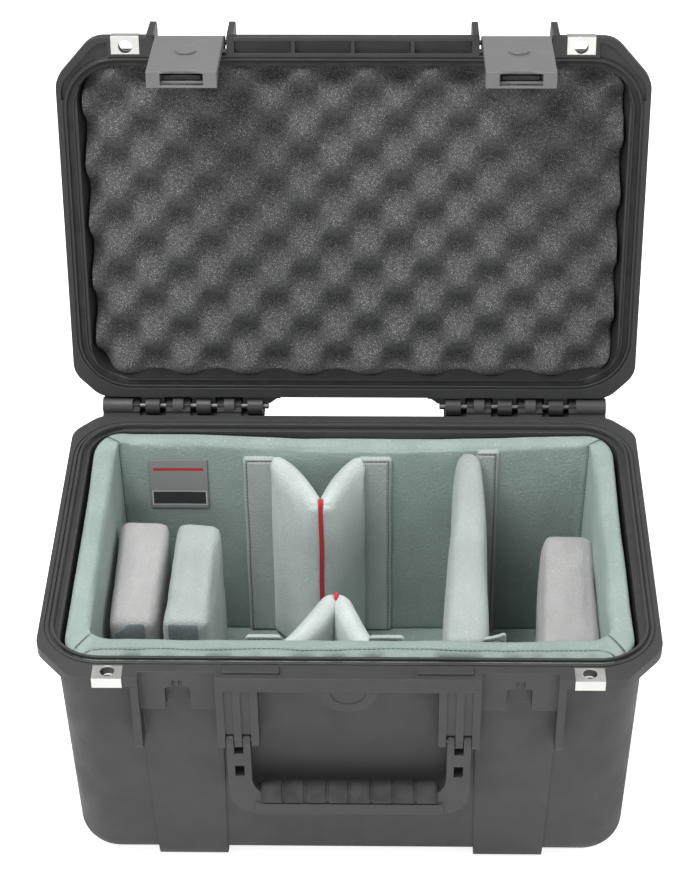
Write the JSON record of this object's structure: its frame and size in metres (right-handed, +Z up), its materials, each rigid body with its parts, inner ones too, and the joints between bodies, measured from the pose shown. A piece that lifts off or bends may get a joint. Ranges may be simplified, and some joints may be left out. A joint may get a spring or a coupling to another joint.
{
  "type": "hard equipment case",
  "caption": "Hard plastic equipment case with a hinged foam-lined lid, latches with triggers, a folding carry handle and a padded divided interior.",
  "frame": {"origin": "on the floor, under the middle of the rim flange, in the middle of the centre foot", "axes": "+Z up, +Y to the hinge side, +X to the right seen from the handle"},
  "size_m": [0.47, 0.4323, 0.5626],
  "materials": {
    "shell_plastic": "fine-grained moulded polypropylene",
    "valve_plastic": "satin",
    "handle_plastic": "satin",
    "grip_rubber": "matte",
    "latch_plastic": "satin",
    "trigger_plastic": "satin",
    "pin_steel": "satin",
    "lock_plate_steel": "polished",
    "gasket_rubber": "matte",
    "foam_charcoal": "open-cell convoluted foam",
    "liner_fabric": "brushed loop fabric over foam",
    "divider_fabric_cool": "brushed loop fabric over foam",
    "divider_fabric_warm": "brushed loop fabric over foam",
    "ribbon_red": "woven",
    "hook_tape": "hook tape",
    "label_weave": "woven"
  },
  "bodies": {
    "base": {"base_shell": "shell_plastic", "vent_valve": "valve_plastic", "lock_plate_base_left": "lock_plate_steel", "lock_plate_base_right": "lock_plate_steel", "lock_core_base_left": "shell_plastic", "lock_core_base_right": "shell_plastic", "hinge_pin_left": "pin_steel", "hinge_pin_right": "pin_steel", "handle_pin_left": "pin_steel", "handle_pin_right": "pin_steel", "liner_floor": "liner_fabric", "liner_front_wall": "liner_fabric", "liner_back_wall": "liner_fabric", "liner_left_wall": "liner_fabric", "liner_right_wall": "liner_fabric", "liner_label": "label_weave", "rear_vee_left_panel": "divider_fabric_cool", "rear_vee_right_panel": "divider_fabric_cool", "rear_vee_ribbon": "ribbon_red", "front_vee_left_panel": "divider_fabric_cool", "front_vee_right_panel": "divider_fabric_cool", "front_vee_ribbon": "ribbon_red", "tall_divider": "divider_fabric_cool", "short_divider_left": "divider_fabric_warm", "short_divider_middle": "divider_fabric_cool", "short_divider_right": "divider_fabric_warm", "divider_hook_tapes": "hook_tape"},
    "lid": {"lid_shell": "shell_plastic", "lid_gasket": "gasket_rubber", "lid_foam": "foam_charcoal", "lock_plate_lid_left": "lock_plate_steel", "lock_plate_lid_right": "lock_plate_steel", "lock_core_lid_left": "shell_plastic", "lock_core_lid_right": "shell_plastic", "latch_pin_left": "pin_steel", "latch_pin_right": "pin_steel"},
    "latch_left": {"latch_left": "latch_plastic", "trigger_pin_left": "pin_steel"},
    "latch_right": {"latch_right": "latch_plastic", "trigger_pin_right": "pin_steel"},
    "trigger_left": {"trigger_left": "trigger_plastic"},
    "trigger_right": {"trigger_right": "trigger_plastic"},
    "handle": {"handle_frame": "handle_plastic", "handle_grip": "grip_rubber"}
  },
  "joints": [
    {"name": "lid_hinge", "type": "hinge", "parent": "base", "child": "lid", "pos_m": [0, 0.1648, 0.2333], "axis": [1, 0, 0], "range_deg": [0, 102.6]},
    {"name": "latch_left_hinge", "type": "hinge", "parent": "lid", "child": "latch_left", "pos_m": [0, 0.24521, 0.53482], "axis": [-1, 0, 0], "range_deg": [0, 100]},
    {"name": "latch_right_hinge", "type": "hinge", "parent": "lid", "child": "latch_right", "pos_m": [0, 0.24521, 0.53482], "axis": [-1, 0, 0], "range_deg": [0, 100]},
    {"name": "trigger_left_hinge", "type": "hinge", "parent": "latch_left", "child": "trigger_left", "pos_m": [0, 0.15755, 0.55523], "axis": [-1, 0, 0], "range_deg": [0, 11]},
    {"name": "trigger_right_hinge", "type": "hinge", "parent": "latch_right", "child": "trigger_right", "pos_m": [0, 0.15755, 0.55523], "axis": [-1, 0, 0], "range_deg": [0, 11]},
    {"name": "handle_hinge", "type": "hinge", "parent": "base", "child": "handle", "pos_m": [0, -0.15, 0.1605], "axis": [-1, 0, 0], "range_deg": [0, 90]}
  ]
}
